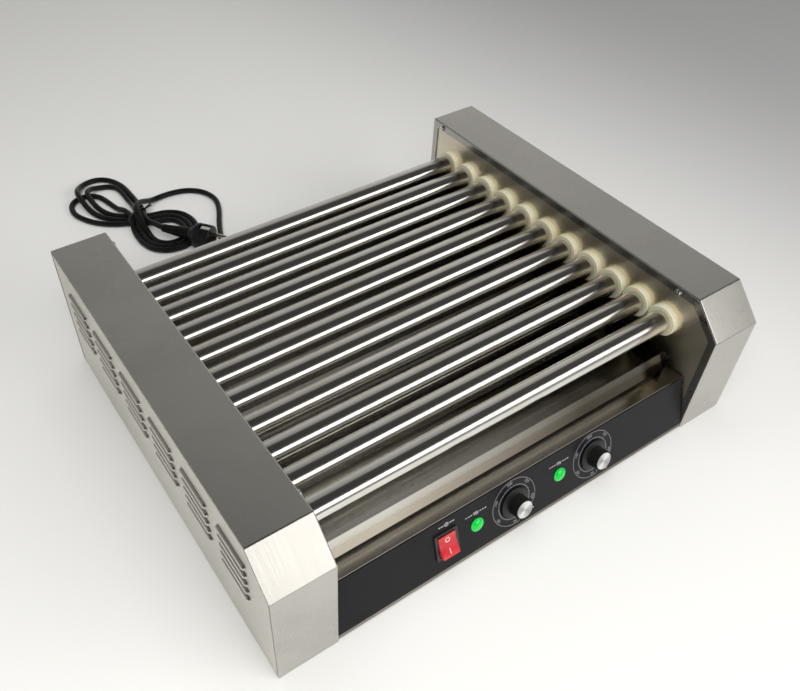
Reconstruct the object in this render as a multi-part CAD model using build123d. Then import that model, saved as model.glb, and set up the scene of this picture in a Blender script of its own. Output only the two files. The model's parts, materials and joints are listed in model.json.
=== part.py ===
from build123d import *
import math
import os

# Hot dog roller grill. Millimetres. +X to the operator's right, -Y the operator's side, +Z up.
# The origin is on the floor, under the middle of the grill. Each function below makes one sub-part.

# ---- driving dimensions ----------------------------------------------------------------------
WIDTH = 580.0                 # over the two end housings, louvres left out
DEPTH = 470.0
HEIGHT = 164.0
HOUSING_WIDTH = 62.4
CHAMFER = 34.7                # leg of the 45 degree chamfer at the front of each housing
SHEET = 1.0                   # stainless sheet of the covers and the control box
PLATE = 1.2                   # inner plates, base pan and brackets
FLOOR_GAP = 1.0               # covers stop this far above the floor
FOLD_RADIUS = 1.6             # outside radius of a fold
FLANGE = 9.5                  # inward flange round the roller side of an end cover
SEAM = 1.2                    # gap between an end cover and its louvred plate
REAR_SEAM = 5.0

ROLLERS = 11
ROLLER_PITCH = 36.4
FIRST_ROLLER_Y = -170.5
ROLLER_Z = 116.5
ROLLER_R = 12.5
ROLLER_WALL = 1.2
ROLLER_END = 245.0            # half length of a roller tube
RUNNING = 0.05                # radial clearance of a running fit
BUSH_R = 17.7
BUSH_SPIGOT_R = 15.5
BUSH_FACE_X = 222.0           # bush face that looks at the rollers
HEATER_R = 5.5
HEATER_END = 262.0

CHAIN_PITCH = 6.35
SPROCKET_TEETH = 12
CHAIN_LINKS = 132
CHAIN_X = 249.8               # middle plane of the chain
CHAIN_ROLLER_R = 1.65
CHAIN_HALF_HEIGHT = 2.8
SPROCKET_THICKNESS = 2.8
SPROCKET_TIP_R = 13.7
SPROCKET_HUB_R = 9.0
SPROCKET_BORE_R = 7.0
SHAFT_R = 4.0

PANEL_BOTTOM = (-235.0, 3.0)  # y, z of the sloping front's lower edge
PANEL_TOP = (-215.0, 65.5)    # y, z of its upper edge, where the ledge starts
BOX_HALF = 227.3              # half width of the control box and the rear panel
FASCIA = 0.8
FASCIA_START = 4.5            # stainless strip left bare under the fascia
CONTROL_S = 35.4              # height of the controls' common line, up the slope
SWITCH_X = -100.5
LAMP_X = (-63.0, 44.5)
DIAL_X = (-16.0, 91.0)

TRAY_HALF = 219.0
TRAY_FRONT = -195.4
TRAY_BACK = 222.0
TRAY_LOW = 66.0
TRAY_RIM = 87.0
TRAY_FLOOR = 71.5
TRAY_LEAN = 6.0               # how far the front wall leans back at its rim

PAN_Z = 4.0                   # underside of the base pan
GLAND_X = -60.0
GLAND_Z = 30.0
GLAND_OUT = 6.8               # how far the gland stands out of the rear panel
BOOT_LENGTH = 20.0
CORD_R = 4.0
CORD_ROUTE = (
    (-60, 241.8, 30),
    (-60, 279.5, 30),
    (-56, 316, 12),
    (-45, 351, 4),
    (-31, 386, 4),
    (-14, 418, 4),
    (-5, 446, 4),
    (-13, 474, 4),
    (-34, 492, 4),
    (-64, 497, 4),
    (-93, 489, 4),
    (-119, 475, 4),
)
HANK_OUTLINE = (
    (-110, 467), (-101, 500), (-101, 562), (-118, 596), (-147, 605), (-175, 594), (-201, 562),
    (-208, 530), (-202, 500), (-178, 472), (-143, 450), (-145, 425), (-145, 398), (-133, 372),
    (-113, 361), (-84, 361), (-66, 373), (-55, 398), (-55, 425), (-68, 446), (-90, 458),
)
HANK_HEIGHT = 26.0
HANK_CORNER = 6.0
HANK_REACH = 60.0             # more than the hank's width at the tie, for cuts right across it
TIE_WIDTH = 33.0              # across the flat band that ties the hank
TIE_HEIGHT = 19.0
TIE_BAND = 4.0                # width of the band, along the cord
TIE_SHEET = 1.0
TIE = Plane(origin=(-124, 459, 0), x_dir=(0.902, 0.432, 0), z_dir=(0, 0, 1))
PLUG_R = 18.0
PLUG_BOOT = 43.0              # length of the plug's tapered boot
PLUG_SHOULDER = 8.0
PLUG_LENGTH = 75.0            # without its pins
PIN_LENGTH = 19.0
PIN_PITCH = 19.0
PLUG = Plane(origin=(-108.4, 403.2, PLUG_R), x_dir=(0, 0, 1), z_dir=(0.611, -0.792, 0))

LOUVRE_GROUPS = 6
LOUVRE_GROUP_PITCH = 69.0
LOUVRE_ROWS = 5
LOUVRE_ROW_PITCH = 12.6
LOUVRE_LOW_Z = 79.0
LOUVRE_LENGTH = 50.0
LOUVRE_RISE = 3.2             # how far a louvre's hood stands out of its plate
LOUVRE_SKIN = 0.7

COVER_SCREWS = ((-175.5, 157.5), (216.0, 158.0))
FOOT_SCREW_Y = (-190.0, -40.0, 60.0, 200.0)
FOOT_PLACES = [(x, y) for x in (-255.0, 255.0) for y in (-205.0, 208.0)]

ROCKER_TILT = 11.0            # the rocker rests this far off level, its upper end pressed in
ROCKER_PIVOT = 1.2            # height of the rocker's pivot over the fascia
KNOB_SKIRT_R = 16.5
KNOB_R = 10.6
KNOB_TOP = 15.6
CAP_R = 9.6

# ---- values worked out from them -------------------------------------------------------------
INNER = WIDTH / 2 - HOUSING_WIDTH
OUTER = WIDTH / 2
HALF_DEPTH = DEPTH / 2
PLATE_X = INNER + SHEET       # roller side of an inner plate
PITCH_R = CHAIN_PITCH / (2 * math.sin(math.pi / SPROCKET_TEETH))
ROLLER_Y = [FIRST_ROLLER_Y + ROLLER_PITCH * i for i in range(ROLLERS)]
ROLLER_SPAN = ROLLER_Y[-1] - ROLLER_Y[0]
# The chain runs over every roller sprocket and down round the motor's, in the middle below them.
CHAIN_SIDE = (CHAIN_PITCH * (CHAIN_LINKS - SPROCKET_TEETH) - ROLLER_SPAN) / 2
MOTOR_Y = (ROLLER_Y[0] + ROLLER_Y[-1]) / 2
MOTOR_DROP = math.sqrt(CHAIN_SIDE ** 2 - (ROLLER_SPAN / 2) ** 2)
MOTOR_Z = ROLLER_Z - MOTOR_DROP
SLOPE = math.atan2(PANEL_TOP[0] - PANEL_BOTTOM[0], PANEL_TOP[1] - PANEL_BOTTOM[1])
SLOPE_LENGTH = math.dist(PANEL_BOTTOM, PANEL_TOP)
PANEL = Plane(
    origin=(0, PANEL_BOTTOM[0], PANEL_BOTTOM[1]),
    x_dir=(1, 0, 0),
    z_dir=(0, -math.cos(SLOPE), math.sin(SLOPE)),
)
SIDES = (("left", -1), ("right", 1))


# ---- helpers ---------------------------------------------------------------------------------
def save(name, *pieces):
    """Write one node: one solid, or a group of separate solids."""
    solids = [solid for piece in pieces for solid in piece.solids()]
    shape = solids[0] if len(solids) == 1 else Compound(children=solids)
    shape.label = name
    export_step(shape, f"parts/{name}.step")


def block(x0, x1, y0, y1, z0, z1):
    return Pos((x0 + x1) / 2, (y0 + y1) / 2, (z0 + z1) / 2) * Box(abs(x1 - x0), abs(y1 - y0), abs(z1 - z0))


def along_x(radius, x0, x1, y=0.0, z=0.0):
    """A cylinder along X from x0 to x1."""
    return Pos((x0 + x1) / 2, y, z) * Rot(0, 90, 0) * Cylinder(radius, abs(x1 - x0))


def along_y(radius, y0, y1, x=0.0, z=0.0):
    return Pos(x, (y0 + y1) / 2, z) * Rot(90, 0, 0) * Cylinder(radius, abs(y1 - y0))


def along_z(radius, z0, z1, x=0.0, y=0.0):
    return Pos(x, y, (z0 + z1) / 2) * Cylinder(radius, abs(z1 - z0))


def side_view(face, x0, x1):
    """Extrude a face drawn in (y, z) from x0 to x1."""
    return Pos(x0, 0, 0) * extrude(Plane.YZ * face, x1 - x0)


def mirrored(shape, side):
    """The right-hand shape as it is, or its mirror image for the left side."""
    return shape if side > 0 else mirror(shape, Plane.YZ)


def on_panel(shape, x, s, proud=0.0):
    """Place a shape drawn flat on the sloping front, at x and s up the slope."""
    return PANEL * Pos(x, s, proud) * shape


# ---- end housings ----------------------------------------------------------------------------
def housing_face(inset, corner, bottom=FLOOR_GAP, rear_inset=None):
    """Side outline of a housing, moved in by inset, with its folds rounded to the corner radius."""
    rear = HALF_DEPTH - (inset if rear_inset is None else rear_inset)
    front = -HALF_DEPTH + inset
    top = HEIGHT - inset
    cut = CHAMFER - inset * (2 - math.sqrt(2))
    outline = Polyline(
        (front, bottom),
        (front, top - cut),
        (front + cut, top),
        (rear, top),
        (rear, bottom),
        close=True,
    )
    face = make_face(outline)
    folds = [v for v in face.vertices() if not math.isclose(v.Y, bottom, abs_tol=0.01)]
    return fillet(folds, corner)


def envelope(inset, x0, x1, corner, edge, bottom):
    """Solid housing shape with its roller-side edge rounded."""
    solid = side_view(housing_face(inset, corner, bottom), x0, x1)
    rim = [e for e in solid.edges().filter_by_position(Axis.X, x0, x0) if e.center().Z > bottom + 0.01]
    return fillet(rim, edge)


def end_cover(side):
    """Folded cover: front, chamfer, top and rear, a flange round the roller side and one outside."""
    outside = envelope(0, INNER, OUTER, FOLD_RADIUS + 0.4, FOLD_RADIUS, FLOOR_GAP)
    inside = envelope(SHEET, INNER + SHEET, OUTER + 5, FOLD_RADIUS - 0.4, FOLD_RADIUS - SHEET, FLOOR_GAP - 5)
    window = side_view(housing_face(FLANGE, 3.0, FLOOR_GAP - 5), INNER - 5, INNER + 10)
    cover = outside - inside - window
    lip_out = side_view(housing_face(SHEET, FOLD_RADIUS - 0.4), OUTER - 2 * SHEET - 0.2, OUTER - SHEET - 0.2)
    lip_in = side_view(housing_face(12, 3.0, FLOOR_GAP - 5), OUTER - 10, OUTER + 5)
    cover = cover + (lip_out - lip_in)
    for y, z in COVER_SCREWS:
        cover = cover - along_x(2.2, INNER - 5, INNER + 5, y, z)
    return mirrored(cover, side)


def louvre_places():
    for group in range(LOUVRE_GROUPS):
        y = (group - (LOUVRE_GROUPS - 1) / 2) * LOUVRE_GROUP_PITCH
        for row in range(LOUVRE_ROWS):
            yield y, LOUVRE_LOW_Z + row * LOUVRE_ROW_PITCH


def louvre_hood(radius):
    """A quarter-round hood with quarter-ball ends, closed at the top and open below."""
    run = LOUVRE_LENGTH - 2 * LOUVRE_RISE
    hood = Rot(90, 0, 0) * Cylinder(radius, run)
    hood = hood + Pos(0, run / 2, 0) * Sphere(radius) + Pos(0, -run / 2, 0) * Sphere(radius)
    return hood & block(0, radius + 1, -LOUVRE_LENGTH, LOUVRE_LENGTH, 0, radius + 1)


def side_plate(side):
    """Flat outer plate with groups of pressed louvres, set inside the end cover's edge."""
    inset = SHEET + SEAM
    plate = side_view(housing_face(inset, 2.0, rear_inset=REAR_SEAM), OUTER - SHEET, OUTER)
    skin = louvre_hood(LOUVRE_RISE)
    slot = louvre_hood(LOUVRE_RISE - LOUVRE_SKIN)
    slot = slot + block(-3, 0.01, -LOUVRE_LENGTH / 2 + 1, LOUVRE_LENGTH / 2 - 1, 0, LOUVRE_RISE - LOUVRE_SKIN)
    places = [Pos(OUTER, y, z) for y, z in louvre_places()]
    plate = plate + [place * skin for place in places]
    plate = plate - [place * slot for place in places]
    return mirrored(plate, side)


def inner_plate(side):
    """Flat plate that carries the rollers' bushes, with a foot turned out over the base pan."""
    outline = housing_face(SHEET + 0.8, 1.0, PAN_Z + PLATE + 0.1)
    plate = side_view(outline, PLATE_X, PLATE_X + PLATE)
    foot = block(PLATE_X, PLATE_X + 14, -222, 222, PAN_Z + PLATE + 0.1, PAN_Z + 2 * PLATE + 0.1)
    plate = plate + foot
    for y in ROLLER_Y:
        plate = plate - along_x(BUSH_SPIGOT_R + RUNNING, PLATE_X - 1, PLATE_X + PLATE + 1, y, ROLLER_Z)
    for y, z in COVER_SCREWS:
        plate = plate - along_x(1.7, PLATE_X - 1, PLATE_X + PLATE + 1, y, z)
    for y in FOOT_SCREW_Y:
        plate = plate - along_z(1.7, PAN_Z, PAN_Z + 5, PLATE_X + 8, y)
    if side > 0:
        plate = plate - along_x(8.0, PLATE_X - 1, PLATE_X + PLATE + 1, MOTOR_Y, MOTOR_Z)
    return mirrored(plate, side)


def bushes(side):
    """One flanged bush for each roller, its flange on the roller side of the inner plate."""
    made = []
    for y in ROLLER_Y:
        flange = along_x(BUSH_R, BUSH_FACE_X, PLATE_X, y, ROLLER_Z)
        flange = fillet(flange.edges().group_by(Axis.X)[0], 1.2)
        bush = flange + along_x(BUSH_SPIGOT_R, PLATE_X, PLATE_X + 4.4, y, ROLLER_Z)
        bush = bush - along_x(ROLLER_R + RUNNING, BUSH_FACE_X - 1, PLATE_X + 6, y, ROLLER_Z)
        made.append(mirrored(bush, side))
    return made


# ---- rollers, sprockets and chain ------------------------------------------------------------
def roller_tube(y):
    tube = along_x(ROLLER_R, -ROLLER_END, ROLLER_END, y, ROLLER_Z)
    return tube - along_x(ROLLER_R - ROLLER_WALL, -ROLLER_END - 1, ROLLER_END + 1, y, ROLLER_Z)


def sprocket_disc(bore):
    """Toothed disc lying in its own middle plane."""
    gap = make_hull(
        [
            *(Pos(0, PITCH_R) * Circle(CHAIN_ROLLER_R + 0.15)).edges(),
            *(Pos(0, PITCH_R + 3) * Circle(2.8)).edges(),
        ]
    )
    disc = Circle(SPROCKET_TIP_R) - Circle(bore)
    for tooth in range(SPROCKET_TEETH):
        disc = disc - Rot(0, 0, tooth * 360 / SPROCKET_TEETH) * gap
    return extrude(disc, SPROCKET_THICKNESS / 2, both=True)


def sprocket(y):
    """Sprocket with a spigot that is pressed into the end of its roller tube."""
    disc = Pos(CHAIN_X, y, ROLLER_Z) * (Plane.YZ * sprocket_disc(SPROCKET_BORE_R))
    hub = along_x(SPROCKET_HUB_R, ROLLER_END, CHAIN_X, y, ROLLER_Z)
    spigot = along_x(ROLLER_R - ROLLER_WALL, ROLLER_END - 10, ROLLER_END, y, ROLLER_Z)
    bore = along_x(SPROCKET_BORE_R, ROLLER_END - 11, CHAIN_X + 5, y, ROLLER_Z)
    return disc + (hub + spigot - bore)


def drive_chain():
    """The chain's two rows of link plates, one each side of the sprockets' teeth, as smooth loops."""
    places = ((ROLLER_Y[0], ROLLER_Z), (ROLLER_Y[-1], ROLLER_Z), (MOTOR_Y, MOTOR_Z))
    outside = [(Pos(*place) * Circle(PITCH_R + CHAIN_HALF_HEIGHT)).edge() for place in places]
    inside = [(Pos(*place) * Circle(PITCH_R - CHAIN_HALF_HEIGHT)).edge() for place in places]
    loop = make_hull(outside) - make_hull(inside)
    return [side_view(loop, CHAIN_X + side * 2.45 - 0.8, CHAIN_X + side * 2.45 + 0.8) for side in (-1, 1)]


def drive_sprocket():
    """Motor sprocket and the gearmotor's output shaft that it is fixed to."""
    disc = Pos(CHAIN_X, MOTOR_Y, MOTOR_Z) * (Plane.YZ * sprocket_disc(SHAFT_R))
    hub = along_x(8.0, CHAIN_X - 14, CHAIN_X - 4, MOTOR_Y, MOTOR_Z)
    neck = along_x(SPROCKET_HUB_R - 0.5, CHAIN_X - 4, CHAIN_X, MOTOR_Y, MOTOR_Z)
    shaft = along_x(SHAFT_R, 200, CHAIN_X + 6, MOTOR_Y, MOTOR_Z)
    toothed = disc + (hub + neck - along_x(SHAFT_R, 200, CHAIN_X + 10, MOTOR_Y, MOTOR_Z))
    return [toothed, shaft]


def gearmotor():
    """Gearbox against the right inner plate, with the motor behind it under the deck."""
    box = block(200, 226.5, MOTOR_Y - 30, MOTOR_Y + 30, MOTOR_Z - 27, MOTOR_Z + 24)
    box = fillet(box.edges().filter_by(Axis.X), 4)
    box = box - along_x(SHAFT_R + RUNNING, 199, 230, MOTOR_Y, MOTOR_Z)
    stack = block(166, 199.8, MOTOR_Y - 26, MOTOR_Y + 26, MOTOR_Z - 24, MOTOR_Z + 22)
    stack = fillet(stack.edges().filter_by(Axis.X), 3)
    cap = along_x(16, 152, 166, MOTOR_Y, MOTOR_Z - 1)
    return [box, stack + fillet(cap.edges().group_by(Axis.X)[0], 3)]


def heating_elements():
    """One rod inside each roller, with a threaded terminal at each end."""
    rods = []
    for y in ROLLER_Y:
        rod = along_x(HEATER_R, -HEATER_END, HEATER_END, y, ROLLER_Z)
        rods.append(rod + along_x(2.0, -HEATER_END - 8, HEATER_END + 8, y, ROLLER_Z))
    return rods


def heater_rail(side):
    """Bridge-shaped strip that holds the rods' ends, standing on the inner plate."""
    low = ROLLER_Y[0] - 20
    high = ROLLER_Y[-1] + 21
    z0 = ROLLER_Z - 11
    z1 = ROLLER_Z + 11
    strip = block(256.5, 256.5 + PLATE, low, high, z0, z1)
    foot = PLATE_X + PLATE
    for y, step in ((low, PLATE), (high, -PLATE)):
        strip = strip + block(foot, 256.5 + PLATE, y, y + step, z0, z1)
        strip = strip + block(foot, foot + PLATE, y, y - step * 6, z0, z1)
    for y in ROLLER_Y:
        strip = strip - along_x(HEATER_R + RUNNING, 250, 260, y, ROLLER_Z)
    return mirrored(strip, side)


# ---- control box -----------------------------------------------------------------------------
def control_box():
    """One folded sheet: the sloping front, the ledge and the deck under the drip tray."""
    back = HALF_DEPTH - 2.2
    ledge = PANEL_TOP[1]
    lean = FASCIA / math.cos(SLOPE)
    thick = SHEET / math.cos(SLOPE)
    start = PANEL_BOTTOM[0] + lean
    knee = PANEL_TOP[0] + lean
    profile = Polyline(
        (start, PANEL_BOTTOM[1]),
        (knee, ledge),
        (back, ledge),
        (back, ledge - SHEET),
        (knee + thick - SHEET * math.tan(SLOPE), ledge - SHEET),
        (start + thick, PANEL_BOTTOM[1]),
        close=True,
    )
    sheet = side_view(make_face(profile), -BOX_HALF, BOX_HALF)
    fold = [e for e in sheet.edges().filter_by(Axis.X) if math.isclose(e.center().Y, knee, abs_tol=0.01)]
    sheet = fillet(fold, 0.9)
    for x in DIAL_X:
        sheet = sheet - on_panel(Cylinder(5.2, 8), x, CONTROL_S, -FASCIA)
    for x in LAMP_X:
        sheet = sheet - on_panel(Cylinder(5.2, 8), x, CONTROL_S, -FASCIA)
    return sheet - on_panel(Box(22.4, 27.4, 8), SWITCH_X, CONTROL_S, -FASCIA)


def fascia_panel():
    length = SLOPE_LENGTH - FASCIA_START - 1.2
    middle = FASCIA_START + length / 2
    panel = on_panel(Box(2 * BOX_HALF - 1, length, FASCIA), 0, middle, -FASCIA / 2)
    for x in DIAL_X + LAMP_X:
        panel = panel - on_panel(Cylinder(5.2, 8), x, CONTROL_S)
    return panel - on_panel(Box(22.4, 27.4, 8), SWITCH_X, CONTROL_S)


def rear_panel():
    """Rear wall of the lower box, with a flange under the deck and the cable hole."""
    y = HALF_DEPTH - SHEET
    top = PANEL_TOP[1]
    wall = block(-BOX_HALF, BOX_HALF, y, HALF_DEPTH, 3, top)
    flange = block(-BOX_HALF, BOX_HALF, y - 14, y, top - 2 * SHEET - 0.1, top - SHEET - 0.1)
    return wall + flange - along_y(8.1, y - 2, y + 4, GLAND_X, GLAND_Z)


def base_pan():
    """Bottom plate under both housings and the control box, turned up at its two ends."""
    half = OUTER - 3.5
    pan = block(-half, half, -225, 225, PAN_Z, PAN_Z + PLATE)
    for side in (-1, 1):
        pan = pan + block(side * (half - PLATE), side * half, -225, 225, PAN_Z, PAN_Z + 16)
        for y in FOOT_SCREW_Y:
            pan = pan - along_z(2.1, 0, 10, side * (PLATE_X + 8), y)
    return pan


def rubber_feet():
    made = []
    for x, y in FOOT_PLACES:
        foot = along_z(11, 0, PAN_Z, x, y)
        made.append(chamfer(foot.edges().group_by(Axis.Z)[0], 0.8))
    return made


def drip_tray():
    """Folded tray: upright sides and back, a front wall that leans back, and a raised floor."""
    outer = block(-TRAY_HALF, TRAY_HALF, TRAY_FRONT, TRAY_BACK, TRAY_LOW, TRAY_RIM)
    outer = fillet(outer.edges().filter_by(Axis.Z).group_by(Axis.Y)[-1], 3)
    side = TRAY_HALF - SHEET
    hollow = block(-side, side, TRAY_FRONT - 5, TRAY_BACK - SHEET, TRAY_LOW - 5, TRAY_RIM + 5)
    hollow = fillet(hollow.edges().filter_by(Axis.Z).group_by(Axis.Y)[-1], 2)
    walls = outer - hollow
    front = make_face(
        Polyline(
            (TRAY_FRONT, TRAY_LOW),
            (TRAY_FRONT + SHEET, TRAY_LOW),
            (TRAY_FRONT + TRAY_LEAN + SHEET, TRAY_RIM),
            (TRAY_FRONT + TRAY_LEAN, TRAY_RIM),
            close=True,
        )
    )
    lean = TRAY_LEAN * (TRAY_FLOOR - TRAY_LOW) / (TRAY_RIM - TRAY_LOW)
    floor = block(-side, side, TRAY_FRONT + lean, TRAY_BACK - 2, TRAY_FLOOR - SHEET, TRAY_FLOOR)
    return walls + side_view(front, -side, side) + floor


# ---- controls --------------------------------------------------------------------------------
def switch_housing():
    """Black frame on the fascia with an open box behind it, where the rocker sits."""
    frame = Box(27, 31, 2.0)
    frame = fillet(frame.edges().filter_by(Axis.Z), 1.5)
    frame = on_panel(fillet(frame.edges().group_by(Axis.Z)[-1], 0.5), SWITCH_X, CONTROL_S, 1.05)
    body = on_panel(Box(22, 27, 24.4), SWITCH_X, CONTROL_S, -12.0)
    well = on_panel(Box(20.4, 24.6, 12), SWITCH_X, CONTROL_S, -2.0)
    return frame + body - well


def rocker_button():
    """Rocker with a hollow-curved face, pivoted below the frame."""
    arc = ThreePointArc((-12.2, 4.6), (0, 2.6), (12.2, 4.6))
    sides = Polyline((12.2, 4.6), (9.0, -4.0), (-9.0, -4.0), (-12.2, 4.6))
    cap = extrude(Plane.YZ * make_face([arc, sides]), 10.0, both=True)
    cap = fillet(cap.edges().filter_by(Axis.X).group_by(Axis.Z)[-1], 0.6)
    return on_panel(Rot(-ROCKER_TILT, 0, 0) * cap, SWITCH_X, CONTROL_S, ROCKER_PIVOT)


def lamp_lens(x):
    dome = Sphere(9.5) & Pos(0, 0, 9.5) * Cylinder(7.2, 9.5)
    dome = Pos(0, 0, -5.6) * dome
    base = Pos(0, 0, 0.35) * Cylinder(7.2, 0.6)
    return on_panel(base + (dome & Pos(0, 0, 5.1) * Cylinder(8, 10)), x, CONTROL_S)


def lamp_body(x):
    stem = Pos(0, 0, -9.0) * Cylinder(5.0, 18.1)
    nut = Pos(0, 0, -4.4) * Cylinder(8.0, 4.0)
    return on_panel(stem + nut, x, CONTROL_S, 0.0)


def thermostat(x):
    """Square switch body behind the panel, its bush through the sheet."""
    body = Pos(0, 0, -17.0) * Box(38, 38, 24)
    neck = Pos(0, 0, -3.4) * Cylinder(4.9, 5.2)
    bore = Pos(0, 0, -8) * Cylinder(3.0 + RUNNING, 20)
    return on_panel(fillet(body.edges().filter_by(Axis.Z), 3) + neck - bore, x, CONTROL_S)


def knob(x):
    """Skirted knob with a ribbed grip, moulded round the thermostat's spindle."""
    skirt = Pos(0, 0, 1.9) * Cylinder(KNOB_SKIRT_R, 2.2)
    skirt = fillet(skirt.edges().group_by(Axis.Z)[-1], 0.8)
    grip = Pos(0, 0, (3 + KNOB_TOP - 0.8) / 2) * Cylinder(KNOB_R, KNOB_TOP - 3.8)
    spindle = Pos(0, 0, -7.3) * Cylinder(3.0, 18)
    recess = Pos(0, 0, KNOB_TOP - 0.8) * Cylinder(CAP_R + 0.02, 1.2)
    return on_panel(skirt + grip + spindle - recess, x, CONTROL_S)


def knob_cap(x):
    cap = Pos(0, 0, KNOB_TOP - 0.7) * Cylinder(CAP_R, 1.4)
    return on_panel(chamfer(cap.edges().group_by(Axis.Z)[-1], 0.3), x, CONTROL_S)


# ---- fasteners, wiring and mains cord --------------------------------------------------------
def pan_screw(length):
    """Pan-head screw along +X, its head's underside at the origin and its head towards -X."""
    head = Pos(-1.1, 0, 0) * Rot(0, 90, 0) * Cylinder(3.4, 2.2)
    head = fillet(head.edges().group_by(Axis.X)[0], 1.1)
    cross = Pos(-2.4, 0, 0) * (Box(1.8, 3.6, 0.8) + Box(1.8, 0.8, 3.6))
    return head + along_x(1.6, 0, length) - cross


def cover_screws():
    made = []
    for _, side in SIDES:
        for y, z in COVER_SCREWS:
            made.append(mirrored(Pos(INNER, y, z) * pan_screw(7), side))
    return made


def base_screws():
    made = []
    for _, side in SIDES:
        for y in FOOT_SCREW_Y:
            made.append(Pos(side * (PLATE_X + 8), y, PAN_Z) * Rot(0, -90, 0) * pan_screw(6))
    return made


def terminal_block():
    body = block(-150, -90, 188, 208, PAN_Z + PLATE + 0.1, 24)
    for i in range(5):
        body = body - along_z(2.2, 16, 30, -144 + 12 * i, 198)
    return body


def wire(points, radius=1.4, bend=9.0):
    path = FilletPolyline(*points, radius=bend)
    return sweep(Plane(path @ 0, z_dir=path % 0) * Circle(radius), path)


def internal_wiring():
    """Leads from the terminal block to the switch, the thermostats and the lamps."""
    z = PAN_Z + PLATE + 2.0
    made = []
    for x, out in ((SWITCH_X, -141), (DIAL_X[0], -126), (DIAL_X[1], -111), (LAMP_X[1], -96)):
        made.append(
            wire([(out, 186, 12), (out, 170, 12), (out, 160, z), (out, 100 + out / 2, z),
                  (x, 20 + out / 2, z), (x, -150, z), (x, -172, 24)])
        )
    return made


def cable_gland():
    """Gland body with its hexagon, and the nut inside the rear panel."""
    hexagon = Plane.XZ * Pos(GLAND_X, GLAND_Z) * RegularPolygon(12.0, 6)
    body = Pos(0, HALF_DEPTH, 0) * extrude(hexagon, -GLAND_OUT)
    body = body + along_y(8.0, HALF_DEPTH - 12, HALF_DEPTH + 1, GLAND_X, GLAND_Z)
    return body + Pos(0, HALF_DEPTH - SHEET - 4.1, 0) * extrude(hexagon, -4)


def cord_boot():
    """Tapered rubber boot on the cord, outside the gland."""
    start = HALF_DEPTH + GLAND_OUT
    boot = Pos(GLAND_X, start + BOOT_LENGTH / 2, GLAND_Z) * Rot(-90, 0, 0) * Cone(7.5, 5.0, BOOT_LENGTH)
    return boot - along_y(CORD_R + RUNNING, start - 1, start + BOOT_LENGTH + 1, GLAND_X, GLAND_Z)


def cord_radii(points):
    """The largest tangent arc that each corner of the route leaves room for."""
    radii = []
    for before, corner, after in zip(points, points[1:], points[2:]):
        into = Vector(*corner) - Vector(*before)
        out = Vector(*after) - Vector(*corner)
        half = math.radians(into.get_angle(out)) / 2
        radii.append(0.45 * min(into.length, out.length) / math.tan(half))
    return radii


def cord_tube():
    """The cord from the gland, down to the floor and round in an arc to the tied hank."""
    radii = cord_radii(CORD_ROUTE)
    path = FilletPolyline(*CORD_ROUTE, radius=radii)
    tube = sweep(Plane(path @ 0, z_dir=path % 0) * Circle(CORD_R), path)
    section = math.pi * CORD_R ** 2
    print("cord radii", [round(r) for r in radii], "length", round(path.length, 1))
    print("cord volume over section times length", round(tube.volume / (section * path.length), 4))
    return tube - hank_shape()


def at_tie(across, along, height):
    """A box across the hank's waist, centred half way up the tie."""
    return TIE * Pos(0, 0, TIE_HEIGHT / 2) * Box(across, along, height)


def hank_shape():
    """Outer shape of the tied hank: the far loops, the waist at the tie and the loops by the plug."""
    outline = make_face(Polyline(*HANK_OUTLINE, close=True))
    shape = extrude(fillet(outline.vertices(), HANK_CORNER), HANK_HEIGHT)
    return shape - TIE * Pos(0, 0, HANK_HEIGHT) * Box(HANK_REACH, 26, 2 * (HANK_HEIGHT - TIE_HEIGHT))


def cord_hank():
    """The hank round the plug's boot, narrowed under the band of the tie."""
    band_slot = at_tie(HANK_REACH, TIE_BAND, TIE_HEIGHT + 10)
    waist = at_tie(TIE_WIDTH - 2 * TIE_SHEET, TIE_BAND, TIE_HEIGHT - 2 * TIE_SHEET)
    return hank_shape() - plug_solid() - band_slot + waist


def cord_tie():
    """Flat band round the waist of the hank."""
    inside = at_tie(TIE_WIDTH - 2 * TIE_SHEET, TIE_BAND + 2, TIE_HEIGHT - 2 * TIE_SHEET)
    return at_tie(TIE_WIDTH, TIE_BAND, TIE_HEIGHT) - inside


def plug_solid():
    """Round plug lying on its side, with a tapered boot where the cord goes in."""
    grip = PLUG_LENGTH - PLUG_BOOT - PLUG_SHOULDER
    boot = Pos(0, 0, PLUG_BOOT / 2) * Cone(5.5, 9.0, PLUG_BOOT)
    shoulder = Pos(0, 0, PLUG_BOOT + PLUG_SHOULDER / 2) * Cone(9.0, PLUG_R, PLUG_SHOULDER)
    return PLUG * (boot + shoulder + Pos(0, 0, PLUG_LENGTH - grip / 2) * Cylinder(PLUG_R, grip))


def plug_body():
    body = plug_solid()
    for side in (-1, 1):
        body = body - PLUG * Pos(side * PLUG_R, 0, PLUG_LENGTH - 6) * Box(6, 9, 20)
    return body


def plug_contacts():
    """Two round pins and the two earth strips in the plug's side notches."""
    made = []
    for side in (-1, 1):
        pin = Pos(0, side * PIN_PITCH / 2, PLUG_LENGTH + PIN_LENGTH / 2) * Cylinder(2.4, PIN_LENGTH)
        made.append(PLUG * chamfer(pin.edges().group_by(Axis.Z)[-1], 0.8))
        made.append(PLUG * Pos(side * (PLUG_R - 2.5), 0, PLUG_LENGTH - 7) * Box(1.0, 8, 13))
    return made


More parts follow.
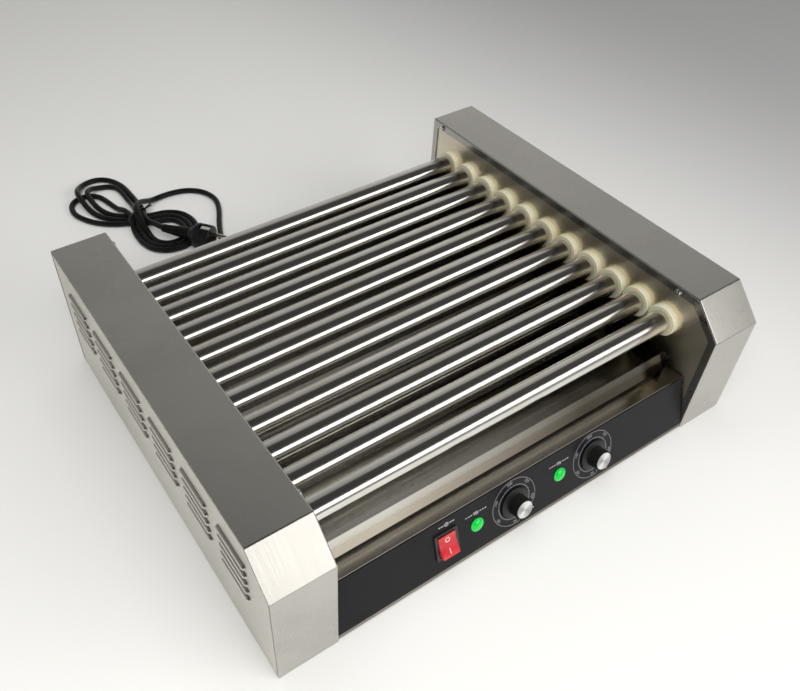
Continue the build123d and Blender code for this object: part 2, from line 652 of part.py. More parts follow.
# ---- write the nodes -------------------------------------------------------------------------
def main():
    os.makedirs("parts", exist_ok=True)
    for name, side in SIDES:
        save(f"{name}_end_cover", end_cover(side))
        save(f"{name}_side_plate", side_plate(side))
        save(f"{name}_inner_plate", inner_plate(side))
        save(f"{name}_bushes", *bushes(side))
    save("heater_rails", *[heater_rail(side) for _, side in SIDES])
    for i, y in enumerate(ROLLER_Y):
        save(f"roller_{i + 1:02d}_tube", roller_tube(y))
        save(f"roller_{i + 1:02d}_sprocket", sprocket(y))
    save("heating_elements", *heating_elements())
    save("drive_chain", *drive_chain())
    save("drive_sprocket", *drive_sprocket())
    save("gearmotor", *gearmotor())
    save("control_box", control_box())
    save("fascia_panel", fascia_panel())
    save("rear_panel", rear_panel())
    save("base_pan", base_pan())
    save("rubber_feet", *rubber_feet())
    save("drip_tray", drip_tray())
    save("switch_housing", switch_housing())
    save("rocker_button", rocker_button())
    save("lamp_lenses", *[lamp_lens(x) for x in LAMP_X])
    save("lamp_bodies", *[lamp_body(x) for x in LAMP_X])
    save("thermostats", *[thermostat(x) for x in DIAL_X])
    for name, x in zip(("left", "right"), DIAL_X):
        save(f"{name}_knob", knob(x))
        save(f"{name}_knob_cap", knob_cap(x))
    save("housing_screws", *cover_screws(), *base_screws())
    save("terminal_block", terminal_block())
    save("internal_wiring", *internal_wiring())
    save("cable_gland", cable_gland())
    save("cord_boot", cord_boot())
    save("cord", cord_tube())
    save("cord_hank", cord_hank())
    save("cord_tie", cord_tie())
    save("plug_body", plug_body())
    save("plug_contacts", *plug_contacts())


main()
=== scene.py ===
import json
import math

import bmesh
import bpy
from mathutils import Euler, Matrix, Vector


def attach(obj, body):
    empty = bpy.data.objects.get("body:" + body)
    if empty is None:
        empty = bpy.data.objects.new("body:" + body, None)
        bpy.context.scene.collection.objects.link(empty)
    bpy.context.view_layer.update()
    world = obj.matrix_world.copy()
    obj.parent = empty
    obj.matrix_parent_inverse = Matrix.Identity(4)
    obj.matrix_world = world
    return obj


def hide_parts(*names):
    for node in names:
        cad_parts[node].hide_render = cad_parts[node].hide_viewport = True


# Looks of the hot dog roller grill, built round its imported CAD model. Metres, in the CAD's frame:
# +X to the operator's right, -Y the operator's side, +Z up, the origin on the floor under the grill.

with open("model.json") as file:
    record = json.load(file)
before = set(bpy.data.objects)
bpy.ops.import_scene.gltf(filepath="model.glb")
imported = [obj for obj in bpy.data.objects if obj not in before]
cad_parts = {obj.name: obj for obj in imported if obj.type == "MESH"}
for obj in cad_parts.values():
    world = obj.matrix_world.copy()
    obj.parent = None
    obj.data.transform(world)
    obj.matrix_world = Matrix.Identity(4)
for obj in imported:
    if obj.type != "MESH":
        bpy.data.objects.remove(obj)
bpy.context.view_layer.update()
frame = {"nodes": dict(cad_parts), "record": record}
NODES = frame["nodes"]

# ---- sizes shared with the CAD source --------------------------------------------------------
PANEL_BOTTOM = Vector((0, -0.235, 0.003))   # lower edge of the sloping front
PANEL_TOP = Vector((0, -0.215, 0.0655))
PANEL_UP = (PANEL_TOP - PANEL_BOTTOM).normalized()
PANEL_OUT = Vector((1, 0, 0)).cross(PANEL_UP)
CONTROL_S = 0.0354                          # the controls' common line, up the slope
SWITCH_X = -0.1005
LAMP_X = (-0.063, 0.0445)
DIAL_X = (-0.016, 0.091)
ROCKER_TILT = 11.0
ROCKER_PIVOT = 0.0012
CORD_R = 0.004
GLAND = Vector((-0.060, 0.2418, 0.030))     # outer face of the cable gland
BOOT_LENGTH = 0.020
TIE_PLACE = Vector((-0.124, 0.459, 0))
TIE_ACROSS = Vector((0.902, 0.432, 0)).normalized()
PLUG_PLACE = Vector((-0.1084, 0.4032, 0.018))
PLUG_AXIS = Vector((0.611, -0.792, 0)).normalized()


def axes(origin, x, y, z):
    """The matrix that takes local axes to x, y and z at the origin."""
    turn = Matrix((x, y, z)).transposed().to_4x4()
    return Matrix.Translation(origin) @ turn


def on_panel(x, s, proud=0.0):
    """Local X to the right, local Y up the slope, local Z out of the sloping front."""
    origin = PANEL_BOTTOM + Vector((x, 0, 0)) + PANEL_UP * s + PANEL_OUT * proud
    return axes(origin, Vector((1, 0, 0)), PANEL_UP, PANEL_OUT)


def polar(radius, degrees):
    return Vector((radius * math.cos(math.radians(degrees)), radius * math.sin(math.radians(degrees))))


# ---- material building -----------------------------------------------------------------------
class Shader:
    """A Principled material with short calls for the procedural nodes that it needs."""

    def __init__(self, name, **sockets):
        self.material = bpy.data.materials.new(name)
        self.material.use_nodes = True
        self.tree = self.material.node_tree
        self.shader = self.tree.nodes["Principled BSDF"]
        for socket, value in sockets.items():
            self.shader.inputs[socket.replace("_", " ")].default_value = value
        self.place = self.node("ShaderNodeTexCoord").outputs["Object"]

    def node(self, kind, **settings):
        made = self.tree.nodes.new(kind)
        for key, value in settings.items():
            setattr(made, key, value)
        return made

    def link(self, output, socket):
        self.tree.links.new(output, socket)

    def noise(self, scale, stretch=(1, 1, 1), detail=3.0, roughness=0.55, distortion=0.0):
        """Noise in the row frame, scale per metre, stretched where stretch is below 1."""
        mapping = self.node("ShaderNodeMapping")
        mapping.inputs["Scale"].default_value = stretch
        self.link(self.place, mapping.inputs["Vector"])
        noise = self.node("ShaderNodeTexNoise")
        noise.inputs["Scale"].default_value = scale
        noise.inputs["Detail"].default_value = detail
        noise.inputs["Roughness"].default_value = roughness
        noise.inputs["Distortion"].default_value = distortion
        self.link(mapping.outputs["Vector"], noise.inputs["Vector"])
        return noise.outputs["Fac"]

    def ramp(self, value, *stops):
        """A colour ramp through (position, colour or grey) stops."""
        ramp = self.node("ShaderNodeValToRGB")
        elements = ramp.color_ramp.elements
        while len(elements) < len(stops):
            elements.new(0.5)
        for element, (position, tone) in zip(elements, stops):
            element.position = position
            colour = (tone, tone, tone) if isinstance(tone, (int, float)) else tone
            element.color = (*colour, 1)
        self.link(value, ramp.inputs["Fac"])
        return ramp.outputs["Color"]

    def span(self, value, low, high):
        """Noise between its usual 0.3 and 0.7 moved to between low and high."""
        span = self.node("ShaderNodeMapRange")
        span.inputs["From Min"].default_value = 0.3
        span.inputs["From Max"].default_value = 0.7
        span.inputs["To Min"].default_value = low
        span.inputs["To Max"].default_value = high
        self.link(value, span.inputs["Value"])
        return span.outputs["Result"]

    def mix(self, factor, first, second):
        mix = self.node("ShaderNodeMix", data_type="RGBA")
        self.link(factor, mix.inputs["Factor"])
        for source, socket in ((first, mix.inputs["A"]), (second, mix.inputs["B"])):
            if isinstance(source, tuple):
                socket.default_value = (*source, 1)
            else:
                self.link(source, socket)
        return mix.outputs["Result"]

    def add(self, first, second):
        add = self.node("ShaderNodeMath", operation="ADD")
        self.link(first, add.inputs[0])
        self.link(second, add.inputs[1])
        return add.outputs["Value"]

    def colour(self, output):
        self.link(output, self.shader.inputs["Base Color"])

    def roughness(self, output):
        self.link(output, self.shader.inputs["Roughness"])

    def bump(self, height, distance):
        bump = self.node("ShaderNodeBump")
        bump.inputs["Distance"].default_value = distance
        bump.inputs["Strength"].default_value = 1.0
        self.link(height, bump.inputs["Height"])
        self.link(bump.outputs["Normal"], self.shader.inputs["Normal"])


def brushed_steel(name, base, grain, rough=(0.26, 0.30), smudge=0.06, depth=0.0000003):
    """Sheet stainless: streaks of grain and faint clouds. Grain runs where its stretch is near zero."""
    made = Shader(name, Metallic=1.0)
    streaks = made.noise(900, grain, detail=4.0, roughness=0.7)
    cloud = made.noise(9, detail=4.0, distortion=0.6)
    darker = tuple(value * (1 - smudge) for value in base)
    lighter = tuple(min(1.0, value * (1 + smudge)) for value in base)
    made.colour(made.mix(made.ramp(cloud, (0.35, 0.0), (0.65, 1.0)), darker, lighter))
    made.roughness(made.add(made.span(streaks, rough[0], rough[1]), made.span(cloud, -0.03, 0.04)))
    made.bump(streaks, depth)
    return made.material


def polished_steel(name, base, around, rough=(0.13, 0.19)):
    """Ground and polished steel: fine marks, which are rings on a tube, and faint warm clouding."""
    made = Shader(name, Metallic=1.0)
    rings = made.noise(1600, around, detail=2.0)
    cloud = made.noise(14, (1, 2, 2), detail=4.0, distortion=0.8)
    warm = tuple(value * tint for value, tint in zip(base, (0.93, 0.91, 0.86)))
    made.colour(made.mix(made.ramp(cloud, (0.42, 0.0), (0.68, 1.0)), base, warm))
    made.roughness(made.add(made.span(rings, rough[0], rough[1]), made.span(cloud, -0.01, 0.03)))
    made.bump(rings, 0.0000004)
    return made.material


def moulded(name, base, rough=(0.35, 0.5), grain=2600, depth=0.00002, **sockets):
    """Moulded plastic or rubber: a fine leathery grain and slight unevenness of gloss."""
    made = Shader(name, **sockets)
    fine = made.noise(grain, detail=2.0)
    cloud = made.noise(60, detail=3.0)
    lighter = tuple(min(1.0, value * 1.25 + 0.004) for value in base)
    made.colour(made.mix(made.ramp(cloud, (0.4, 0.0), (0.7, 1.0)), base, lighter))
    made.roughness(made.span(cloud, rough[0], rough[1]))
    made.bump(fine, depth)
    return made.material


def bush_plastic():
    """Waxy cream plastic, yellowed here and there."""
    made = Shader("bush_plastic", Subsurface_Weight=0.25, Subsurface_Scale=0.002)
    cloud = made.noise(35, detail=4.0)
    made.colour(made.ramp(cloud, (0.35, (0.76, 0.71, 0.50)), (0.62, (0.84, 0.80, 0.62))))
    made.roughness(made.span(made.noise(400), 0.34, 0.5))
    made.bump(made.noise(1800, (0.2, 1, 1)), 0.00002)
    return made.material


def fascia_film():
    """Charcoal film over the sloping front: semi-gloss, with a faint orange peel."""
    made = Shader("fascia_black", Specular_IOR_Level=0.14)
    cloud = made.noise(22, detail=3.0)
    made.colour(made.ramp(cloud, (0.3, (0.008, 0.008, 0.010)), (0.7, (0.011, 0.011, 0.013))))
    made.roughness(made.span(cloud, 0.30, 0.40))
    made.bump(made.noise(1500, detail=1.0), 0.000001)
    return made.material


def heated_sheath():
    """Heater rod: steel browned unevenly by heat."""
    made = Shader("heater_sheath", Metallic=1.0)
    cloud = made.noise(30, (0.3, 1, 1), detail=4.0)
    made.colour(made.ramp(cloud, (0.3, (0.20, 0.17, 0.13)), (0.6, (0.36, 0.33, 0.29)),
                          (0.8, (0.30, 0.24, 0.22))))
    made.roughness(made.span(cloud, 0.3, 0.5))
    return made.material


def oiled_steel():
    """Sprockets and chain: dark steel under a film of oil and dust."""
    made = Shader("chain_steel", Metallic=0.9)
    cloud = made.noise(240, detail=4.0)
    made.colour(made.ramp(cloud, (0.35, (0.10, 0.095, 0.09)), (0.65, (0.30, 0.29, 0.27))))
    made.roughness(made.span(cloud, 0.22, 0.45))
    made.bump(made.noise(1500), 0.00001)
    return made.material


def spun_aluminium():
    """Knob caps: turned on a lathe, with painted highlights in bright and dark wedges from the middle, by
    the angle round the cap.
    """
    made = Shader("cap_aluminium", Metallic=1.0, Anisotropic=0.8)
    made.link(made.node("ShaderNodeTangent", direction_type="RADIAL", axis="Z").outputs["Tangent"],
              made.shader.inputs["Tangent"])
    painted_highlight_angle = made.node("ShaderNodeTexGradient", gradient_type="RADIAL")
    made.link(made.place, painted_highlight_angle.inputs["Vector"])
    # Painted highlight: the colour goes bright and dark in wedges by the angle round the cap.
    made.colour(made.ramp(painted_highlight_angle.outputs["Fac"], (0.0, 0.42), (0.12, 0.95), (0.25, 0.60), (0.36, 0.38),
                          (0.50, 0.52), (0.62, 0.95), (0.76, 0.70), (0.88, 0.40), (1.0, 0.42)))
    fine = made.noise(5200, detail=1.0)
    made.roughness(made.span(fine, 0.20, 0.30))
    return made.material


def green_lens():
    """Green lamp lens with a weak painted glow: the lamp itself is not lit."""
    # The emission is a painted glow that keeps the unlit lens bright green.
    made = Shader("lens_green", Subsurface_Weight=0.4, Subsurface_Scale=0.003, Coat_Weight=0.2,
                  Emission_Color=(0.0, 0.80, 0.08, 1), Emission_Strength=0.42)
    cloud = made.noise(300, detail=2.0)
    made.colour(made.ramp(cloud, (0.3, (0.0, 0.24, 0.02)), (0.7, (0.0, 0.32, 0.04))))
    made.roughness(made.span(cloud, 0.12, 0.2))
    return made.material


def print_ink(name, tone):
    """Screen-printed marks, a little worn."""
    made = Shader(name)
    worn = made.noise(900, detail=3.0)
    made.colour(made.ramp(worn, (0.35, tuple(value * 0.6 for value in tone)), (0.5, tone)))
    made.roughness(made.span(worn, 0.4, 0.55))
    return made.material


def tray_steel(name, left, right):
    """Sheet of the tray or the control box, with painted light: its colour runs from the left tone to the
    right tone across X.
    """
    made = Shader(name, Metallic=1.0)
    split = made.node("ShaderNodeSeparateXYZ")
    made.link(made.place, split.inputs["Vector"])
    across = made.node("ShaderNodeMapRange")
    across.inputs["From Min"].default_value = -0.15
    across.inputs["From Max"].default_value = 0.10
    made.link(split.outputs["X"], across.inputs["Value"])
    streaks = made.noise(700, (0.012, 1, 1), detail=3.0)
    # Painted light: the colour goes from the left tone to the right tone across X, standing in for
    # reflection and shade.
    made.colour(made.mix(across.outputs["Result"], left, right))
    made.roughness(made.span(streaks, 0.13, 0.21))
    made.bump(streaks, 0.0000006)
    return made.material


ALONG_Y = (1.0, 0.012, 1.0)        # grain that runs along Y
FOLDED = (1.0, 0.012, 0.012)       # grain that follows the cover's strip over its folds
ROUND_X = (1.0, 0.02, 0.02)        # rings round a tube that lies along X

MATERIALS = {
    "brushed_stainless": brushed_steel("brushed_stainless", (0.51, 0.495, 0.465), FOLDED),
    "satin_stainless": brushed_steel("satin_stainless", (0.66, 0.64, 0.59), ALONG_Y, (0.40, 0.46)),
    "bright_stainless": brushed_steel("bright_stainless", (0.88, 0.81, 0.66), ALONG_Y, (0.34, 0.42), 0.08,
                                      0.000001),
    "polished_roller": polished_steel("polished_roller", (0.72, 0.705, 0.67), ROUND_X),
    "bush_plastic": bush_plastic(),
    "bracket_steel": brushed_steel("bracket_steel", (0.52, 0.53, 0.52), (0.5, 0.5, 1), (0.35, 0.5), 0.2),
    "heater_sheath": heated_sheath(),
    "chain_steel": oiled_steel(),
    "motor_paint": moulded("motor_paint", (0.035, 0.038, 0.042), (0.35, 0.5), 700, 0.00004),
    "fascia_black": fascia_film(),
    "switch_black": moulded("switch_black", (0.012, 0.012, 0.012), (0.28, 0.4)),
    "rocker_red": moulded("rocker_red", (0.46, 0.008, 0.014), (0.24, 0.32), 1500, 0.000006,
                          Subsurface_Weight=0.15, Subsurface_Scale=0.002,
                          Coat_Weight=0.3, Coat_Roughness=0.15),
    "lens_green": green_lens(),
    "knob_black": moulded("knob_black", (0.006, 0.006, 0.006), (0.30, 0.42), Specular_IOR_Level=0.35),
    "cap_aluminium": spun_aluminium(),
    "screw_steel": polished_steel("screw_steel", (0.85, 0.84, 0.82), (1, 1, 1), (0.15, 0.24)),
    "terminal_plastic": moulded("terminal_plastic", (0.72, 0.71, 0.64), (0.4, 0.55)),
    "wire_insulation": moulded("wire_insulation", (0.45, 0.06, 0.05), (0.5, 0.65)),
    "gland_plastic": moulded("gland_plastic", (0.016, 0.016, 0.016), (0.4, 0.5)),
    "cord_rubber": moulded("cord_rubber", (0.006, 0.006, 0.006), (0.24, 0.34), 1800, 0.000004,
                           Specular_IOR_Level=0.2),
    "tie_plastic": moulded("tie_plastic", (0.010, 0.010, 0.010), (0.15, 0.22), 900, 0.00001),
    "contact_metal": polished_steel("contact_metal", (0.78, 0.76, 0.70), (1, 1, 1), (0.14, 0.24)),
    "foot_rubber": moulded("foot_rubber", (0.020, 0.020, 0.020), (0.55, 0.7), 900, 0.00004),
}
# Tray: a painted reflection, bright on its left, running into painted shade on its right. Control box: steel
# darkened overall and further towards its right, painted shade.
STEEL_WITH_PAINTED_LIGHT = {
    "drip_tray": tray_steel("tray_steel", (0.66, 0.64, 0.59), (0.10, 0.09, 0.075)),
    "control_box": tray_steel("box_steel", (0.30, 0.275, 0.24), (0.20, 0.18, 0.15)),
}
# Brighter, smoother steel for the folds: a painted highlight.
FOLD_PAINTED_HIGHLIGHT = polished_steel("fold_painted_highlight", (0.86, 0.85, 0.82), (1, 1, 1), (0.18, 0.26))
PRINT_GREY = print_ink("print_grey", (0.30, 0.31, 0.32))
PRINT_WHITE = print_ink("print_white", (0.75, 0.75, 0.74))


def finish_cad_nodes():
    """Every CAD node takes the material of its slot in the record, and the tray and control box their own
    steel with painted light.
    """
    for part in frame["record"]["subparts"]:
        node = NODES[part["node"]]
        node.data.materials.clear()
        node.data.materials.append(STEEL_WITH_PAINTED_LIGHT.get(part["node"], MATERIALS[part["material_slot"]]))


# Radius of the lit folds of each sheet-metal node.
FOLD_RADIUS = {
    "left_end_cover": 0.0006,
    "right_end_cover": 0.0006,
    "control_box": 0.0011,
    "drip_tray": 0.0004,
}


def round_folds():
    """Round the sheet metal's folds and cut edges, and give them a brighter steel as a painted highlight."""
    for node, radius in FOLD_RADIUS.items():
        bevel = NODES[node].modifiers.new("folds", "BEVEL")
        bevel.width = radius
        bevel.segments = 2
        bevel.limit_method = "ANGLE"
        bevel.angle_limit = math.radians(25)
        bevel.harden_normals = True
        NODES[node].data.materials.append(FOLD_PAINTED_HIGHLIGHT)
        bevel.material = 1


# ---- mesh building ---------------------------------------------------------------------------
def piece(name, mesh, body, material, stands_for=(), place=None, smooth=35):
    """Put a mesh in the scene on a CAD body with its material, and hide the CAD parts that it stands for."""
    made = bpy.data.objects.new(name, mesh)
    bpy.context.scene.collection.objects.link(made)
    if place is not None:
        made.matrix_world = place
    mesh.materials.clear()
    mesh.materials.append(material)
    if smooth:
        mesh.shade_smooth()
        mesh.set_sharp_from_angle(angle=math.radians(smooth))
    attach(made, body)
    if stands_for:
        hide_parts(*stands_for)
    return made


def mesh_of(name, points, faces):
    mesh = bpy.data.meshes.new(name)
    mesh.from_pydata([tuple(point) for point in points], [], faces)
    mesh.validate()
    return mesh


def turned(name, rings, steps=96, ribs=0):
    """A closed turned solid about local Z. A ring is (radius, height), and may add the depth of its ribs."""
    points = []
    for ring in rings:
        radius, height = ring[0], ring[1]
        depth = ring[2] if len(ring) > 2 else 0.0
        for i in range(steps):
            angle = 2 * math.pi * i / steps
            here = radius - depth * (0.5 - 0.5 * math.cos(ribs * angle))
            points.append((here * math.cos(angle), here * math.sin(angle), height))
    faces = [tuple(reversed(range(steps)))]
    for ring in range(len(rings) - 1):
        for i in range(steps):
            j = (i + 1) % steps
            low, high = ring * steps, (ring + 1) * steps
            faces.append((low + i, low + j, high + j, high + i))
    faces.append(tuple((len(rings) - 1) * steps + i for i in range(steps)))
    return mesh_of(name, points, faces)


def plate(name, outline, low, high):
    """A flat outline in local XY, made solid from low to high."""
    count = len(outline)
    points = [(x, y, low) for x, y in outline] + [(x, y, high) for x, y in outline]
    faces = [tuple(reversed(range(count))), tuple(range(count, 2 * count))]
    faces += [(i, (i + 1) % count, count + (i + 1) % count, count + i) for i in range(count)]
    return mesh_of(name, points, faces)


def ribbon(name, path, width, low, high, closed=False):
    """A flat printed line of that width along a path in local XY."""
    left, right = [], []
    count = len(path)
    for i, point in enumerate(path):
        before = path[(i - 1) % count] if closed or i else point
        after = path[(i + 1) % count] if closed or i < count - 1 else point
        along = (after - before).normalized()
        side = Vector((-along.y, along.x)) * width / 2
        left.append(point + side)
        right.append(point - side)
    points = []
    for height in (low, high):
        points += [(*p, height) for p in left] + [(*p, height) for p in right]
    faces = []
    for i in range(count if closed else count - 1):
        j = (i + 1) % count
        lower, upper = 0, 2 * count
        faces.append((upper + i, upper + count + i, upper + count + j, upper + j))
        faces.append((lower + i, lower + j, lower + count + j, lower + count + i))
        faces.append((lower + i, upper + i, upper + j, lower + j))
        faces.append((lower + count + i, lower + count + j, upper + count + j, upper + count + i))
    if not closed:
        for i in (0, count - 1):
            faces.append((i, count + i, 3 * count + i, 2 * count + i))
    return mesh_of(name, points, faces)


def joined(name, parts):
    """One mesh from (mesh, matrix) pairs."""
    made = bmesh.new()
    for mesh, matrix in parts:
        copy = mesh.copy()
        copy.transform(matrix)
        made.from_mesh(copy)
        bpy.data.meshes.remove(copy)
    bmesh.ops.recalc_face_normals(made, faces=made.faces)
    mesh = bpy.data.meshes.new(name)
    made.to_mesh(mesh)
    made.free()
    return mesh


def baked(made):
    """Apply an object's modifiers to its mesh."""
    graph = bpy.context.evaluated_depsgraph_get()
    mesh = bpy.data.meshes.new_from_object(made.evaluated_get(graph))
    made.modifiers.clear()
    made.data = mesh
    return made


def bevelled(mesh, width, segments=3, angle=30):
    """The mesh with its sharp edges rounded."""
    made = bpy.data.objects.new("bevelled", mesh)
    bpy.context.scene.collection.objects.link(made)
    bevel = made.modifiers.new("bevel", "BEVEL")
    bevel.width = width
    bevel.segments = segments
    bevel.limit_method = "ANGLE"
    bevel.angle_limit = math.radians(angle)
    bpy.context.view_layer.update()
    rounded = baked(made).data
    bpy.data.objects.remove(made)
    return rounded


def lettering(text, size):
    """Generic figures as a thin mesh, centred on local zero."""
    curve = bpy.data.curves.new("figures", "FONT")
    curve.body = text
    curve.size = size
    curve.align_x = "CENTER"
    curve.align_y = "CENTER"
    curve.extrude = 0.00002
    made = bpy.data.objects.new("figures", curve)
    mesh = bpy.data.meshes.new_from_object(made)
    bpy.data.objects.remove(made)
    return mesh


# ---- controls --------------------------------------------------------------------------------
SKIRT_R = 0.0170
GRIP_R = 0.0106
KNOB_TOP = 0.0156
CAP_R = 0.0096
KNOB_RIBS = 36
KNOB_CORE_R = 0.0040                        # inner end of the skirt and of the grip's foot
SKIRT_LOW = 0.0008
GRIP_LOW = 0.0030
RIB_DEPTH = 0.00075
CAP_RINGS = 12
SPINDLE_R = 0.0030
SPINDLE_DEPTH = 0.0163
INK_LOW = 0.00001                           # printed lines start just over their panel
INK_HIGH = 0.00006


def knob_skirt():
    rings = [
        (KNOB_CORE_R, SKIRT_LOW),
        (SKIRT_R - 0.0004, SKIRT_LOW),
        (SKIRT_R, 0.0011),
        (SKIRT_R, 0.0022),
        (SKIRT_R - 0.0005, 0.0027),
        (SKIRT_R - 0.0013, GRIP_LOW),
        (GRIP_R + 0.0006, 0.0032),
        (GRIP_R, 0.0036),
        (KNOB_CORE_R, 0.0036),
    ]
    return turned("skirt", rings)


def knob_grip():
    """Ribbed sides that run out into a smooth rim round the cap."""
    rings = [
        (KNOB_CORE_R, GRIP_LOW),
        (GRIP_R + 0.0008, GRIP_LOW, RIB_DEPTH * 0.3),
        (GRIP_R + 0.0005, 0.0040, RIB_DEPTH),
        (GRIP_R + 0.0001, KNOB_TOP - 0.0016, RIB_DEPTH),
        (GRIP_R - 0.0002, KNOB_TOP - 0.0007, RIB_DEPTH * 0.6),
        (GRIP_R - 0.0006, KNOB_TOP - 0.0001, 0),
        (CAP_R + 0.0002, KNOB_TOP, 0),
        (CAP_R + 0.00005, KNOB_TOP - 0.0003, 0),
        (CAP_R, KNOB_TOP - 0.0012, 0),
    ]
    return turned("grip", rings, steps=KNOB_RIBS * 8, ribs=KNOB_RIBS)


def knob_nib():
    """Raised pointer down the side of the grip."""
    inner, outer = GRIP_R - 0.002, GRIP_R + 0.0016
    outline = [(inner, -0.0011), (outer, -0.0007), (outer, 0.0007), (inner, 0.0011)]
    return bevelled(plate("nib", outline, GRIP_LOW, KNOB_TOP - 0.0008), 0.0003)


def knob_tip():
    """White paint on the top of the nib."""
    inner, outer = GRIP_R - 0.0004, GRIP_R + 0.0014
    outline = [(inner, -0.0005), (outer, -0.0005), (outer, 0.0005), (inner, 0.0005)]
    return plate("tip", outline, KNOB_TOP - 0.00082, KNOB_TOP - 0.00070)


def knob_cap(name):
    """Cap with a soft edge and faint turning marks."""
    rings = [
        (0.0002, KNOB_TOP - 0.0010),
        (CAP_R - 0.0001, KNOB_TOP - 0.0010),
        (CAP_R, KNOB_TOP - 0.0002),
        (CAP_R - 0.0002, KNOB_TOP + 0.00005),
        (CAP_R - 0.0005, KNOB_TOP),
    ]
    for step in range(1, CAP_RINGS):
        radius = (CAP_R - 0.0005) * (1 - step / CAP_RINGS)
        rings.append((radius, KNOB_TOP - 0.00012 + 0.00003 * (step % 2)))
    return turned(name, rings, steps=128)


def knob(name, x, body, pointing):
    """Skirt, ribbed grip with a pointer nib, and a spun cap, all turning with the knob's body."""
    place = on_panel(x, CONTROL_S)
    spindle = turned("spindle", [(SPINDLE_R, -SPINDLE_DEPTH), (SPINDLE_R, 0.0010)], steps=32)
    turn = Matrix.Rotation(math.radians(pointing), 4, "Z")
    parts = [(knob_skirt(), Matrix()), (knob_grip(), Matrix()), (knob_nib(), turn), (spindle, Matrix())]
    piece(name, joined(name, parts), body, MATERIALS["knob_black"], [body], place)
    tip = joined("tip", [(knob_tip(), turn)])
    piece(f"{name}_index", tip, body, PRINT_WHITE, (), place, 0)
    cap = knob_cap(f"{name}_cap")
    piece(f"{name}_cap", cap, body, MATERIALS["cap_aluminium"], [f"{body}_cap"], place, 25)


DOME_SPHERE_R = 0.0095
DOME_BASE_R = 0.0069
DOME_LOW = 0.0011


def lamp_lens(name, x):
    """Domed lens over a thin rim."""
    rings = [(0.0066, 0.00005), (0.0074, 0.00005), (0.0076, 0.0004), (0.0074, 0.0009), (0.0070, DOME_LOW)]
    lift = math.sqrt(DOME_SPHERE_R ** 2 - DOME_BASE_R ** 2)
    for step in range(13):
        radius = DOME_BASE_R * math.cos(math.radians(step * 7.2))
        rings.append((max(radius, 0.0001), DOME_LOW + math.sqrt(DOME_SPHERE_R ** 2 - radius ** 2) - lift))
    return turned(name, rings, steps=64), on_panel(x, CONTROL_S)


def lamp_lenses():
    parts = [lamp_lens("lens", x) for x in LAMP_X]
    piece("lamp_domes", joined("lamp_domes", parts), "root", MATERIALS["lens_green"],
          ["lamp_lenses"])


ROCKER_LINE = 0.0007
ROCKER_INK = 0.00005
ROCKER_HALF_WIDTH = 0.0100
ROCKER_HALF_LENGTH = 0.0122
ROCKER_FOOT = (0.0090, -0.0040)             # half length and height of its hidden lower edge


def rocker_place():
    return on_panel(SWITCH_X, CONTROL_S, ROCKER_PIVOT) @ Matrix.Rotation(math.radians(-ROCKER_TILT), 4, "X")


def rocker_face(along):
    """Height of the rocker's hollow face, along its length from the middle."""
    return 0.0026 + 0.0020 * (along / ROCKER_HALF_LENGTH) ** 2


def rocker():
    """Red rocker with a hollow face and soft edges, with generic off and on marks."""
    steps = 24
    top = [ROCKER_HALF_LENGTH * (2 * i / steps - 1) for i in range(steps + 1)]
    foot, low = ROCKER_FOOT
    outline = [(y, rocker_face(y)) for y in top] + [(foot, low), (-foot, low)]
    points = [(side * ROCKER_HALF_WIDTH, y, z) for side in (-1, 1) for y, z in outline]
    count = len(outline)
    faces = [tuple(range(count)), tuple(reversed(range(count, 2 * count)))]
    faces += [(i, count + i, count + (i + 1) % count, (i + 1) % count) for i in range(count)]
    body = joined("rocker", [(mesh_of("rocker", points, faces), Matrix())])
    piece("rocker_red_button", bevelled(body, 0.0007, 4), "rocker", MATERIALS["rocker_red"],
          ["rocker_button"], rocker_place(), 40)
    ring = [polar(0.0024, 10 * i) + Vector((0, 0.0062)) for i in range(36)]
    bar = [Vector((0, -0.0092)), Vector((0, -0.0062)), Vector((0, -0.0034))]
    marks = [
        ribbon("off", ring, ROCKER_LINE, 0, ROCKER_INK, closed=True),
        ribbon("on", bar, ROCKER_LINE, 0, ROCKER_INK),
    ]
    mesh = joined("rocker_marks", [(mark, Matrix()) for mark in marks])
    for vertex in mesh.vertices:
        vertex.co.z += rocker_face(vertex.co.y) + 0.00002
    piece("rocker_marks", mesh, "rocker", PRINT_WHITE, (), rocker_place(), 0)


# ---- print on the sloping front --------------------------------------------------------------
BAND_OUTER = 0.0272
BAND_INNER = 0.0195
BAND_START = 268.0          # direction of the lowest figure, degrees from local X
BAND_TURN = 282.0           # clockwise from the lowest figure to the highest
BAND_OVERRUN = 8.0
FIGURES = (50, 100, 150, 200, 250, 300)
TICKS_BETWEEN = 5
FIGURE_R = 0.0242
FIGURE_SIZE = 0.0044
BAND_LINE = 0.00045
TICK_LINE = 0.0003
SIGN_LINE = 0.0006
DASH_LINE = 0.0008
SWITCH_SIGN_S = 0.0572
HEAT_SIGN_S = 0.0499


def dial_direction(share):
    return BAND_START - BAND_TURN * share


